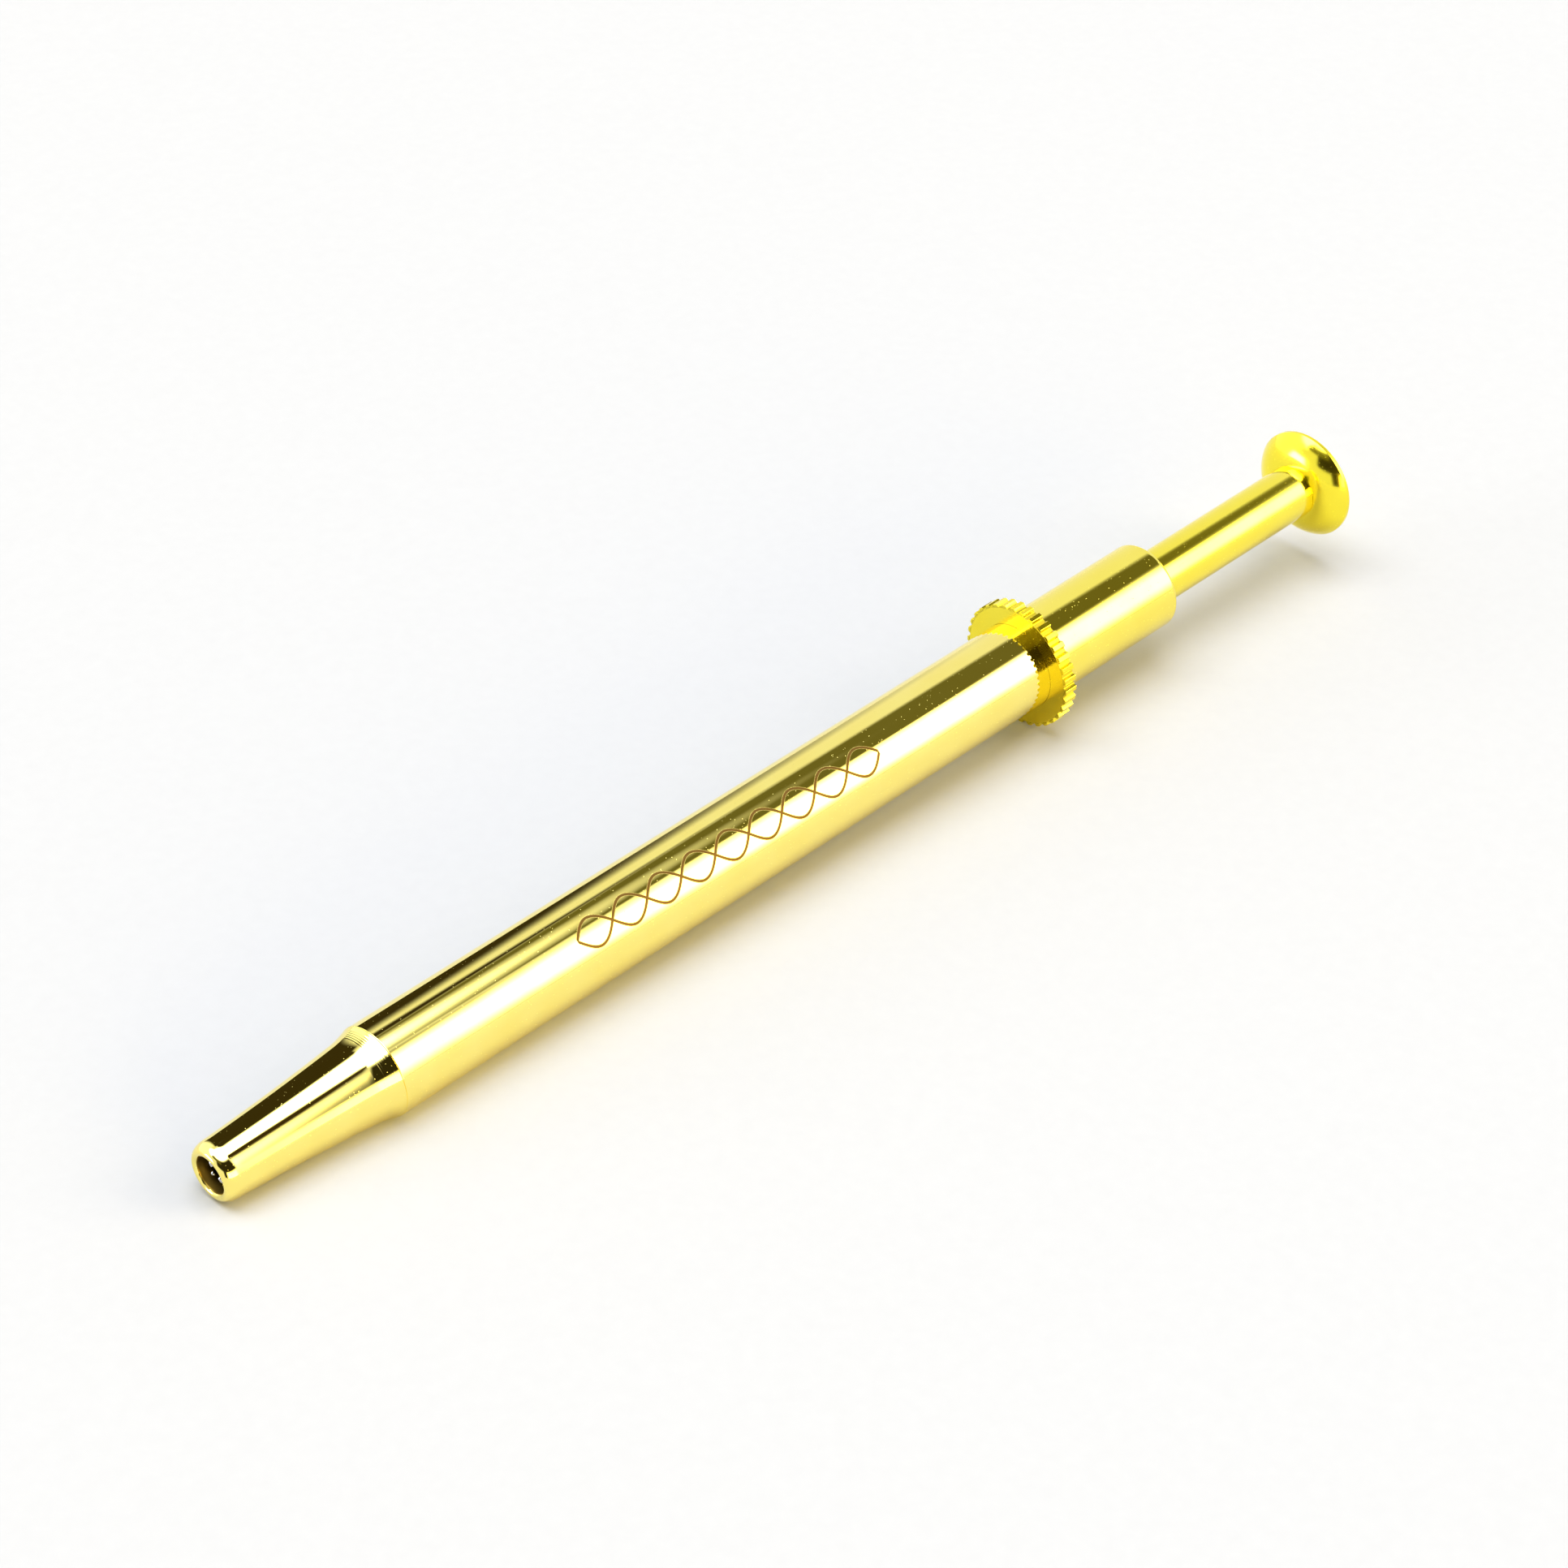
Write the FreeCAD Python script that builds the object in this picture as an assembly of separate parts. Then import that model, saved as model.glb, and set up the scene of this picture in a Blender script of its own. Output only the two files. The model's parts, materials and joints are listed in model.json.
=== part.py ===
"""Plunger-operated four-claw pick-up tool, in gold-plated brass with steel wire claws.

Pressing the thumb button pushes four spring-wire claws out of the nose, where they spread open.
Letting go lets the return spring pull them back in, and the nose closes them on a stone or pearl.

Millimetres. The origin is the centre of the nose's mouth. +X runs back along the tool's axis to
the thumb button, and +Z is up. The model is at rest: button out, claws in.
"""

import FreeCAD, Part

import math
import os

from FreeCAD import Vector

# ---- driving dimensions ----------------------------------------------------------------------

# nose cone
NOSE_LENGTH = 15.2
TIP_OD = 4.84
MOUTH_BORE = 3.0
LIP_INNER_SHARE = 1 / 3
CONE_SAG = 0.08
NECK_STEP = 0.42
FLARE_LENGTH = 1.9
FLARE_SAG = 0.05

# barrel tube
BARREL_OD = 7.45
TUBE_LENGTH = 67.45
TUBE_WALL = 0.6

# knurled finger ring
RING_OD = 10.9
RING_THICKNESS = 1.2
RING_RECESS = 0.05
TOOTH_COUNT = 34
TOOTH_DEPTH = 0.28
TOOTH_LAND_SHARE = 0.38
TOOTH_ROOT_SHARE = 0.3

# rear sleeve
SLEEVE_LENGTH = 14.1
SLEEVE_END_ROUND = 0.35
SLEEVE_SPIGOT = 6.0

# plunger
STROKE = 15.0
PLUNGER_OD = 4.6
PLUNGER_WALL = 0.6
PLUNGER_EXPOSED = 18.6
PLUG_FLANGE = 2.0
PLUG_SPIGOT = 5.0

# thumb button
BUTTON_OD = 9.45
BUTTON_DEPTH = 1.9
BUTTON_RIM = 0.35
BUTTON_BULGE = 0.42
BUTTON_DISH = 1.1
BUTTON_SPIGOT = 4.0

# push rod and return spring
ROD_OD = 1.6
WASHER_THICKNESS = 0.5
SPRING_WIRE = 0.5
SPRING_TURNS = 30
COLLAR_LENGTH = 2.5

# claws
CLAW_COUNT = 4
CLAW_WIRE = 0.4
FIRST_CLAW_ANGLE = 45.0
TIP_INSET = 0.55
HOOK_BEND = 0.42
FERRULE_LENGTH = 6.0
ROOT_LENGTH = 4.0

# clearances: radial, or between faces
RUN_GAP = 0.05
SOLDER_GAP = 0.015
FACE_GAP = 0.02
CLAW_GAP = 0.03
WIRE_GAP = 0.07
HOOK_GAP = 0.2
FERRULE_GAP = 0.2
WASHER_GAP = 0.2
SPRING_GAP = 0.5
FERRULE_STOP_GAP = 2.0
FERRULE_REST_GAP = 0.8

# small chamfer on turned corners
EDGE = 0.07

# ---- derived radii ---------------------------------------------------------------------------

TIP_R = TIP_OD / 2
MOUTH_R = MOUTH_BORE / 2
BARREL_R = BARREL_OD / 2
TUBE_BORE_R = BARREL_R - TUBE_WALL
SPIGOT_R = TUBE_BORE_R - SOLDER_GAP
PLUNGER_R = PLUNGER_OD / 2
PLUNGER_BORE_R = PLUNGER_R - PLUNGER_WALL
PLUG_R = PLUNGER_BORE_R - SOLDER_GAP
ROD_R = ROD_OD / 2
ROD_SEAT_R = ROD_R + SOLDER_GAP
SPRING_R = TUBE_BORE_R - SPRING_GAP - SPRING_WIRE / 2
COLLAR_R = SPRING_R + SPRING_WIRE / 2
WIRE_R = CLAW_WIRE / 2
FERRULE_R = MOUTH_R - FERRULE_GAP

# Neighbouring wires lie WIRE_GAP apart in the ferrule, and their hooked tips HOOK_GAP apart.
NEIGHBOUR_FACTOR = 2 * math.sin(math.pi / CLAW_COUNT)
BUNCH_R = (CLAW_WIRE + WIRE_GAP) / NEIGHBOUR_FACTOR
HOOK_TIP_R = (CLAW_WIRE + HOOK_GAP) / NEIGHBOUR_FACTOR
BUNCH_SEAT_R = BUNCH_R + WIRE_R + CLAW_GAP

# ---- derived places along the axis -----------------------------------------------------------

TUBE_REAR = NOSE_LENGTH + TUBE_LENGTH
RING_FRONT = TUBE_REAR - RING_RECESS
RING_REAR = RING_FRONT + RING_THICKNESS
SLEEVE_REAR = RING_REAR + SLEEVE_LENGTH
SLEEVE_FRONT = TUBE_REAR - SLEEVE_SPIGOT
PLUNGER_FRONT = SLEEVE_FRONT - FACE_GAP
PLUG_REAR = PLUNGER_FRONT + PLUG_SPIGOT
BUTTON_FRONT = SLEEVE_REAR + PLUNGER_EXPOSED

# Fully pressed, the ferrule stays FERRULE_STOP_GAP behind the mouth.
FERRULE_FRONT = STROKE + FERRULE_STOP_GAP
FERRULE_REAR = FERRULE_FRONT + FERRULE_LENGTH
ROOT_END = FERRULE_FRONT + ROOT_LENGTH
SPIGOT_END = FERRULE_REAR + FERRULE_REST_GAP

# The spring goes solid at the end of the stroke, which is what stops the plunger.
WASHER_REAR = SPIGOT_END + FACE_GAP + WASHER_THICKNESS
SPRING_FRONT = WASHER_REAR + FACE_GAP
SPRING_LENGTH = (SPRING_TURNS + 1) * SPRING_WIRE + STROKE
COLLAR_FRONT = SPRING_FRONT + SPRING_LENGTH + FACE_GAP

# Each claw swings by OPEN_RATE radians per mm of stroke. Its front half bows outward on the
# radius BOW_R, which keeps the wire sliding along the mouth, CLAW_GAP clear of it, as it opens.
REACH_R = MOUTH_R - WIRE_R - CLAW_GAP
OPEN_RATE = (REACH_R - BUNCH_R) / (FERRULE_FRONT / 2) ** 2
BOW_R = 1 / (2 * OPEN_RATE)
OPEN_ANGLE = OPEN_RATE * STROKE
ROOT_FRONT = FERRULE_FRONT + WIRE_R * math.sin(OPEN_ANGLE) + CLAW_GAP

ORIGIN = Vector(0, 0, 0)
X_AXIS = Vector(1, 0, 0)
BACK = Vector(1, 0, 0)
FORWARD = Vector(-1, 0, 0)
OUTWARD = Vector(0, 0, 1)
INWARD = Vector(0, 0, -1)


# ---- shape helpers ---------------------------------------------------------------------------


def at(x, r):
    """A point of a turned profile: x along the axis, r out from it."""
    return Vector(x, 0, r)


def line(start, end):
    return Part.LineSegment(start, end).toShape()


def arc(start, middle, end):
    return Part.Arc(start, middle, end).toShape()


def bowed(start, end, rise):
    """An arc from start to end, standing rise out from the straight line, away from the axis."""
    along = (end - start).normalize()
    outward = Vector(-along.z, 0, along.x)
    return arc(start, (start + end) * 0.5 + outward * rise, end)


def round_corner(corner, radius, arriving, leaving):
    """A quarter-round in place of a square corner. Returns its start, its end and its edge.

    arriving is the direction of the profile before the corner, and leaving the one after it.
    """
    start = corner - arriving * radius
    end = corner + leaving * radius
    centre = corner + (leaving - arriving) * radius
    middle = centre + (corner - centre).normalize() * radius
    return start, end, arc(start, middle, end)


def turned(edges):
    """The solid swept by a closed profile turned once round the tool's axis."""
    return Part.Face(Part.Wire(edges)).revolve(ORIGIN, X_AXIS, 360)


def turned_outline(*points):
    """A turned solid with straight runs between (x, r) points, closed back to the first."""
    corners = [at(x, r) for x, r in points]
    return turned([line(a, b) for a, b in zip(corners, corners[1:] + corners[:1])])


def tube(front, rear, inner_r, outer_r):
    """A tube or bush, with its two outer corners chamfered."""
    return turned_outline(
        (front, inner_r),
        (front, outer_r - EDGE),
        (front + EDGE, outer_r),
        (rear - EDGE, outer_r),
        (rear, outer_r - EDGE),
        (rear, inner_r),
    )


# ---- barrel ----------------------------------------------------------------------------------


def nose_cone():
    """Tapered nose with a rounded lip and a flared rear. Its spigot is fixed in the barrel tube."""
    lip_inner = (TIP_R - MOUTH_R) * LIP_INNER_SHARE
    lip_outer = TIP_R - MOUTH_R - lip_inner
    mouth, _, inner_arc = round_corner(at(0, MOUTH_R), lip_inner, FORWARD, OUTWARD)
    _, cone_start, outer_arc = round_corner(at(0, TIP_R), lip_outer, OUTWARD, BACK)
    neck = at(NOSE_LENGTH - FLARE_LENGTH, BARREL_R - NECK_STEP)
    flare_end = at(NOSE_LENGTH - EDGE, BARREL_R)
    shoulder = at(NOSE_LENGTH, BARREL_R - EDGE)
    spigot_root = at(NOSE_LENGTH, SPIGOT_R)
    spigot_edge = at(SPIGOT_END - EDGE, SPIGOT_R)
    spigot_face = at(SPIGOT_END, SPIGOT_R - EDGE)
    bore_end = at(SPIGOT_END, MOUTH_R)
    return turned(
        [
            inner_arc,
            outer_arc,
            bowed(cone_start, neck, -CONE_SAG),
            bowed(neck, flare_end, -FLARE_SAG),
            line(flare_end, shoulder),
            line(shoulder, spigot_root),
            line(spigot_root, spigot_edge),
            line(spigot_edge, spigot_face),
            line(spigot_face, bore_end),
            line(bore_end, mouth),
        ]
    )


def barrel_tube():
    """Drawn tube that the hand holds, from the nose's seam to the finger ring."""
    return tube(NOSE_LENGTH, TUBE_REAR, TUBE_BORE_R, BARREL_R)


def finger_ring():
    """Disc with a straight-knurled edge, held between the barrel tube and the rear sleeve.

    A shallow recess in its front face centres it on the tube.
    """
    tip_r = RING_OD / 2
    root_r = tip_r - TOOTH_DEPTH
    pitch = 2 * math.pi / TOOTH_COUNT
    half_land = pitch * TOOTH_LAND_SHARE / 2
    half_root = pitch * TOOTH_ROOT_SHARE / 2

    def rim(radius, angle):
        return Vector(RING_FRONT, radius * math.cos(angle), radius * math.sin(angle))

    edges = []
    for tooth in range(TOOTH_COUNT):
        crest = tooth * pitch
        root = crest + pitch / 2
        land_end = rim(tip_r, crest + half_land)
        root_start = rim(root_r, root - half_root)
        root_end = rim(root_r, root + half_root)
        edges.append(arc(rim(tip_r, crest - half_land), rim(tip_r, crest), land_end))
        edges.append(line(land_end, root_start))
        edges.append(line(root_start, root_end))
        edges.append(line(root_end, rim(tip_r, crest + pitch - half_land)))
    disc = Part.Face(Part.Wire(edges)).extrude(X_AXIS * RING_THICKNESS)
    bore = Part.makeCylinder(TUBE_BORE_R, RING_THICKNESS, at(RING_FRONT, 0), X_AXIS)
    recess_r = BARREL_R + SOLDER_GAP
    recess = Part.makeCylinder(recess_r, RING_RECESS, at(RING_FRONT, 0), X_AXIS)
    return disc.cut(bore).cut(recess)


def rear_sleeve():
    """Turned sleeve that guides the plunger. Its spigot goes through the ring into the tube."""
    bore_r = PLUNGER_R + RUN_GAP
    round_start, round_end, end_arc = round_corner(
        at(SLEEVE_REAR, BARREL_R), SLEEVE_END_ROUND, BACK, INWARD
    )
    bore_front = at(SLEEVE_FRONT, bore_r)
    spigot_face = at(SLEEVE_FRONT, SPIGOT_R - EDGE)
    spigot_edge = at(SLEEVE_FRONT + EDGE, SPIGOT_R)
    spigot_root = at(RING_REAR, SPIGOT_R)
    shoulder = at(RING_REAR, BARREL_R - EDGE)
    shoulder_edge = at(RING_REAR + EDGE, BARREL_R)
    bore_rear = at(SLEEVE_REAR, bore_r)
    return turned(
        [
            line(bore_front, spigot_face),
            line(spigot_face, spigot_edge),
            line(spigot_edge, spigot_root),
            line(spigot_root, shoulder),
            line(shoulder, shoulder_edge),
            line(shoulder_edge, round_start),
            end_arc,
            line(round_end, bore_rear),
            line(bore_rear, bore_front),
        ]
    )


def spring_washer():
    """Loose washer between the return spring and the end of the nose's spigot."""
    front = SPIGOT_END + FACE_GAP
    return tube(front, WASHER_REAR, ROD_R + WASHER_GAP, TUBE_BORE_R - WASHER_GAP)


# ---- plunger ---------------------------------------------------------------------------------


def plunger_tube():
    """Tube that slides in the rear sleeve, with the button in its rear end."""
    return tube(PLUNGER_FRONT, BUTTON_FRONT - FACE_GAP, PLUNGER_BORE_R, PLUNGER_R)


def thumb_button():
    """Round button, bowl-shaped underneath and dished on top, with a spigot for the plunger."""
    rim_r = BUTTON_OD / 2
    rim_rear = BUTTON_FRONT + BUTTON_DEPTH
    spigot_front = at(BUTTON_FRONT - BUTTON_SPIGOT, 0)
    spigot_edge = at(BUTTON_FRONT - BUTTON_SPIGOT, PLUG_R)
    spigot_root = at(BUTTON_FRONT, PLUG_R)
    foot = at(BUTTON_FRONT, PLUNGER_R)
    rim_low = at(rim_rear - BUTTON_RIM, rim_r)
    rim_top = at(rim_rear, rim_r)
    dish_edge = at(rim_rear, rim_r - BUTTON_RIM)
    dish_floor = at(rim_rear - BUTTON_DISH, 0)
    dish_r = (dish_edge.z**2 + BUTTON_DISH**2) / (2 * BUTTON_DISH)
    half_way = math.asin(dish_edge.z / dish_r) / 2
    dish_middle = at(
        dish_floor.x + dish_r * (1 - math.cos(half_way)), dish_r * math.sin(half_way)
    )
    return turned(
        [
            line(spigot_front, spigot_edge),
            line(spigot_edge, spigot_root),
            line(spigot_root, foot),
            bowed(foot, rim_low, BUTTON_BULGE),
            line(rim_low, rim_top),
            line(rim_top, dish_edge),
            arc(dish_edge, dish_middle, dish_floor),
            line(dish_floor, spigot_front),
        ]
    )


def stop_plug():
    """Plug in the plunger's front end. Its flange stops on the sleeve and centres the plunger."""
    flange_front = PLUNGER_FRONT - PLUG_FLANGE
    flange_rear = PLUNGER_FRONT - FACE_GAP
    flange_r = TUBE_BORE_R - RUN_GAP
    return turned_outline(
        (flange_front, ROD_SEAT_R),
        (flange_front, flange_r - EDGE),
        (flange_front + EDGE, flange_r),
        (flange_rear, flange_r),
        (flange_rear, PLUG_R),
        (PLUG_REAR, PLUG_R),
        (PLUG_REAR, ROD_SEAT_R),
    )


def push_rod():
    """Steel rod from the plunger's plug to the claws' ferrule."""
    front = ROOT_END + FACE_GAP
    return turned_outline(
        (front, 0),
        (front, ROD_R - EDGE),
        (front + EDGE, ROD_R),
        (PLUG_REAR - EDGE, ROD_R),
        (PLUG_REAR, ROD_R - EDGE),
        (PLUG_REAR, 0),
    )


def spring_collar():
    """Collar fixed on the rod, where the return spring pushes the plunger back."""
    return tube(COLLAR_FRONT, COLLAR_FRONT + COLLAR_LENGTH, ROD_SEAT_R, COLLAR_R)


def return_spring():
    """Compression spring round the rod, between the washer and the collar."""
    height = SPRING_LENGTH - SPRING_WIRE
    helix = Part.makeHelix(height / SPRING_TURNS, height, SPRING_R)
    start_of_wire = Vector(SPRING_R, 0, 0)
    section = Part.makeCircle(SPRING_WIRE / 2, start_of_wire, helix.Edges[0].tangentAt(0))
    spring = Part.Wire(helix).makePipeShell([Part.Wire(section)], True, True)
    spring.rotate(ORIGIN, Vector(0, 1, 0), 90)
    spring.translate(X_AXIS * (SPRING_FRONT + SPRING_WIRE / 2))
    return spring


# ---- claws -----------------------------------------------------------------------------------


def claw_ferrule():
    """Crimped sleeve that holds the claws' wires in front and the rod behind."""
    return turned_outline(
        (FERRULE_FRONT, BUNCH_SEAT_R),
        (FERRULE_FRONT, FERRULE_R - EDGE),
        (FERRULE_FRONT + EDGE, FERRULE_R),
        (FERRULE_REAR - EDGE, FERRULE_R),
        (FERRULE_REAR, FERRULE_R - EDGE),
        (FERRULE_REAR, ROD_SEAT_R),
        (ROOT_END, ROD_SEAT_R),
        (ROOT_END, BUNCH_SEAT_R),
    )


def in_place(shape, index):
    """Turns a wire, made at the top of the tool, round the axis to its own claw's place."""
    shape.rotate(ORIGIN, X_AXIS, FIRST_CLAW_ANGLE + 360 * index / CLAW_COUNT)
    return shape


def claw_root(index):
    """The end of one wire that is crimped in the ferrule."""
    length = ROOT_END - ROOT_FRONT
    root = Part.makeCylinder(WIRE_R, length, at(ROOT_FRONT, BUNCH_R), X_AXIS)
    return in_place(root, index)


def claw_path():
    """Centre line of one claw: straight, bowed outward, then hooked in towards the axis."""
    bow_start = at(FERRULE_FRONT / 2, BUNCH_R)
    hook_x = TIP_INSET + WIRE_R + HOOK_BEND
    bow_angle = math.asin((bow_start.x - hook_x) / (BOW_R + HOOK_BEND))

    def on_bow(angle):
        rise = BOW_R * (1 - math.cos(angle))
        return at(bow_start.x - BOW_R * math.sin(angle), BUNCH_R + rise)

    bow_end = on_bow(bow_angle)
    hook_r = bow_end.z - HOOK_BEND * math.cos(bow_angle)

    def on_hook(heading):
        """heading is the wire's angle out from the axis: bow_angle at first, -90 degrees last."""
        return at(
            hook_x + HOOK_BEND * math.sin(heading), hook_r + HOOK_BEND * math.cos(heading)
        )

    last = -math.pi / 2
    hook_end = on_hook(last)
    return Part.Wire(
        [
            line(at(FERRULE_FRONT, BUNCH_R), bow_start),
            arc(bow_start, on_bow(bow_angle / 2), bow_end),
            arc(bow_end, on_hook((bow_angle + last) / 2), hook_end),
            line(hook_end, at(hook_end.x, HOOK_TIP_R)),
        ]
    )


def claw(index):
    """The free length of one wire, from where it flexes to its hooked tip."""
    section = Part.makeCircle(WIRE_R, at(FERRULE_FRONT, BUNCH_R), X_AXIS)
    return in_place(claw_path().makePipeShell([Part.Wire(section)], True, False), index)


# ---- output ----------------------------------------------------------------------------------


def all_parts():
    parts = {
        "nose_cone": nose_cone(),
        "barrel_tube": barrel_tube(),
        "finger_ring": finger_ring(),
        "rear_sleeve": rear_sleeve(),
        "spring_washer": spring_washer(),
        "plunger_tube": plunger_tube(),
        "thumb_button": thumb_button(),
        "stop_plug": stop_plug(),
        "push_rod": push_rod(),
        "spring_collar": spring_collar(),
        "return_spring": return_spring(),
        "claw_ferrule": claw_ferrule(),
    }
    for index in range(CLAW_COUNT):
        parts[f"claw_root_{index + 1}"] = claw_root(index)
        parts[f"claw_{index + 1}"] = claw(index)
    return parts


def main():
    os.makedirs("parts", exist_ok=True)
    for name, shape in all_parts().items():
        solid = shape.Solids[0]
        if not solid.isValid() or solid.Volume <= 0:
            raise ValueError(f"{name} is not a good solid")
        solid.exportStep(f"parts/{name}.step")
        print(f"{name:16s} {solid.Volume:9.3f} mm3")
    print(f"claws open {math.degrees(OPEN_ANGLE):.4f} degrees")
    print(f"that is {OPEN_RATE * 1000:.5f} radians for each metre of stroke")
    print(f"claws swing at x = {FERRULE_FRONT}, {BUNCH_R:.5f} from the axis")


main()
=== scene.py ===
import json
import math

import bmesh
import bpy
from mathutils import Matrix, Quaternion, Vector


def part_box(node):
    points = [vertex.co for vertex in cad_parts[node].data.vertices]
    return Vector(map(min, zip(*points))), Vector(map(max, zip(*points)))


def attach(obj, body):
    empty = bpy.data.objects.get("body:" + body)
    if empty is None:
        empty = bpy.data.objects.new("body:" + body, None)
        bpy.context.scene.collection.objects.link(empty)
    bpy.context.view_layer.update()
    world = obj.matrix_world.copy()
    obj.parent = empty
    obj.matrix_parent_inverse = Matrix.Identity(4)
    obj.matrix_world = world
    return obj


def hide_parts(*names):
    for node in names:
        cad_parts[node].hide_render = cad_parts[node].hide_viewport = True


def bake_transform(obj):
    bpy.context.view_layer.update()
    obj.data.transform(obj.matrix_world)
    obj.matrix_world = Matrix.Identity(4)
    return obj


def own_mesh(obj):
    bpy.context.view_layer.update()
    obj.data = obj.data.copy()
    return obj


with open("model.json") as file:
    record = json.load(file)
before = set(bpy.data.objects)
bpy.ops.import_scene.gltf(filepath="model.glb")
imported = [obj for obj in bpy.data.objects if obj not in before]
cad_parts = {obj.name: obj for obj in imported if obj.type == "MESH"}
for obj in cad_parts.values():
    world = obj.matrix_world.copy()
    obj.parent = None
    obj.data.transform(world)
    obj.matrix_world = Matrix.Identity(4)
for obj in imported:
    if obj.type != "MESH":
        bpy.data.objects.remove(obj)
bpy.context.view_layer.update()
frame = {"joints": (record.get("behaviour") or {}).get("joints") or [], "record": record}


# ==== Nose =====================================================================================
# A brass nose, turned on a lathe, polished and gold plated. Its mouth has a full round lip, and
# the flare carries a few fine tool marks in front of the seam. Its spigot is soldered in the tube.

MM = 0.001

LIP_R = 2.42
MOUTH_R = 1.5
LIP_INNER = 0.307
LIP_OUTER = 0.613
LIP_LENGTH = 1.25
BARREL_R = 3.725
SPIGOT_R = 3.11
NECK = (13.3, 3.305)
TURNED_EDGE = 0.06
TOOL_MARKS = 5
TOOL_MARK_PITCH = 0.17
TOOL_MARK_WIDTH = 0.09
TOOL_MARK_DEPTH = 0.009
TOOL_MARKS_TO_SEAM = 0.25
CONE_SAG = 0.08
FLARE_SAG = 0.05
SPECK_HEIGHT = 0.002
SPECK_DULLNESS = 0.35
LINE_DULLNESS = 0.08
BORE_DULLNESS = 0.4
# Painted shade: the bore inside the mouth is coloured this dark brown for the shade in it.
BORE_PAINTED_SHADE = (0.2, 0.13, 0.02, 1)


def bow(start, end, rise, steps=24):
    """A shallow arc of (x, r) points in mm, whose middle stands rise outside the straight line."""
    start, end = Vector(start), Vector(end)
    along = (end - start).normalized()
    outward = Vector((-along.y, along.x))
    points = []
    for n in range(steps + 1):
        t = n / steps
        points.append(tuple(start.lerp(end, t) + outward * rise * 4 * t * (1 - t)))
    return points


def eased(corners, radii, steps=6, hold=1.3):
    """A closed chain of (x, r) corners with some rounded off: radii is {corner's number: radius}.

    A point is kept just outside each end of a rounding, which holds the flat beside it flat.
    """
    chain = []
    for n, corner in enumerate(corners):
        if n not in radii:
            chain.append(corner)
            continue
        tip = Vector(corner)
        back = (Vector(corners[n - 1]) - tip).normalized()
        ahead = (Vector(corners[(n + 1) % len(corners)]) - tip).normalized()
        half = back.angle(ahead) / 2
        reach = radii[n] / math.tan(half)
        centre = tip + (back + ahead).normalized() * radii[n] / math.sin(half)
        first = tip + back * reach - centre
        last = tip + ahead * reach - centre
        sweep = math.copysign(first.angle(last), first.cross(last))
        chain.append(tuple(tip + back * reach * hold))
        for step in range(steps + 1):
            spoke = Matrix.Rotation(sweep * step / steps, 2) @ first
            chain.append(tuple(centre + spoke))
        chain.append(tuple(tip + ahead * reach * hold))
    return chain


def finished(name, mesh, sharp=30):
    """Makes a bmesh a piece in the scene, shaded smooth except across its sharp edges."""
    data = bpy.data.meshes.new(name)
    mesh.to_mesh(data)
    mesh.free()
    data.shade_smooth()
    data.set_sharp_from_angle(angle=math.radians(sharp))
    piece = bpy.data.objects.new(name, data)
    bpy.context.scene.collection.objects.link(piece)
    return piece


def turned(name, outline, facets=256, longest=4.0):
    """A lathe-turned piece: an outline of (x, r) points in mm, spun once round the tool's axis.

    An outline that starts on the axis also ends there. Any other is a closed loop.
    """
    mesh = bmesh.new()
    points = [mesh.verts.new((x * MM, 0, r * MM)) for x, r in outline]
    for pair in zip(points, points[1:]):
        mesh.edges.new(pair)
    if outline[0][1] > 0:
        mesh.edges.new((points[-1], points[0]))
    for edge in list(mesh.edges):
        cuts = int(edge.calc_length() / (longest * MM))
        if cuts:
            bmesh.ops.subdivide_edges(mesh, edges=[edge], cuts=cuts)
    bmesh.ops.spin(
        mesh,
        geom=mesh.verts[:] + mesh.edges[:],
        cent=(0, 0, 0),
        axis=(1, 0, 0),
        dvec=(0, 0, 0),
        angle=math.tau,
        steps=facets,
        use_merge=True,
    )
    bmesh.ops.remove_doubles(mesh, verts=mesh.verts, dist=MM / 10000)
    bmesh.ops.recalc_face_normals(mesh, faces=mesh.faces)
    return finished(name, mesh)


def node(tree, kind, inputs=None, **settings):
    """Adds a node. inputs gives its sockets, by name or number, a value or another node's output."""
    new = tree.nodes.new(kind)
    for key, value in settings.items():
        setattr(new, key, value)
    for key, value in (inputs or {}).items():
        if isinstance(value, bpy.types.NodeSocket):
            tree.links.new(value, new.inputs[key])
        else:
            new.inputs[key].default_value = value
    return new


def maths(tree, operation, *values):
    return node(tree, "ShaderNodeMath", dict(enumerate(values)), operation=operation).outputs[0]


def new_group(name, inputs, outputs):
    """An empty shader node group with its sockets. inputs is {name: default}, a number or three."""
    tree = bpy.data.node_groups.new(name, "ShaderNodeTree")
    for socket, default in inputs.items():
        kind = "NodeSocketFloat" if isinstance(default, (int, float)) else "NodeSocketVector"
        made = tree.interface.new_socket(name=socket, in_out="INPUT", socket_type=kind)
        made.default_value = default
    for socket in outputs:
        tree.interface.new_socket(name=socket, in_out="OUTPUT", socket_type="NodeSocketFloat")
    return tree, node(tree, "NodeGroupInput"), node(tree, "NodeGroupOutput")


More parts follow.
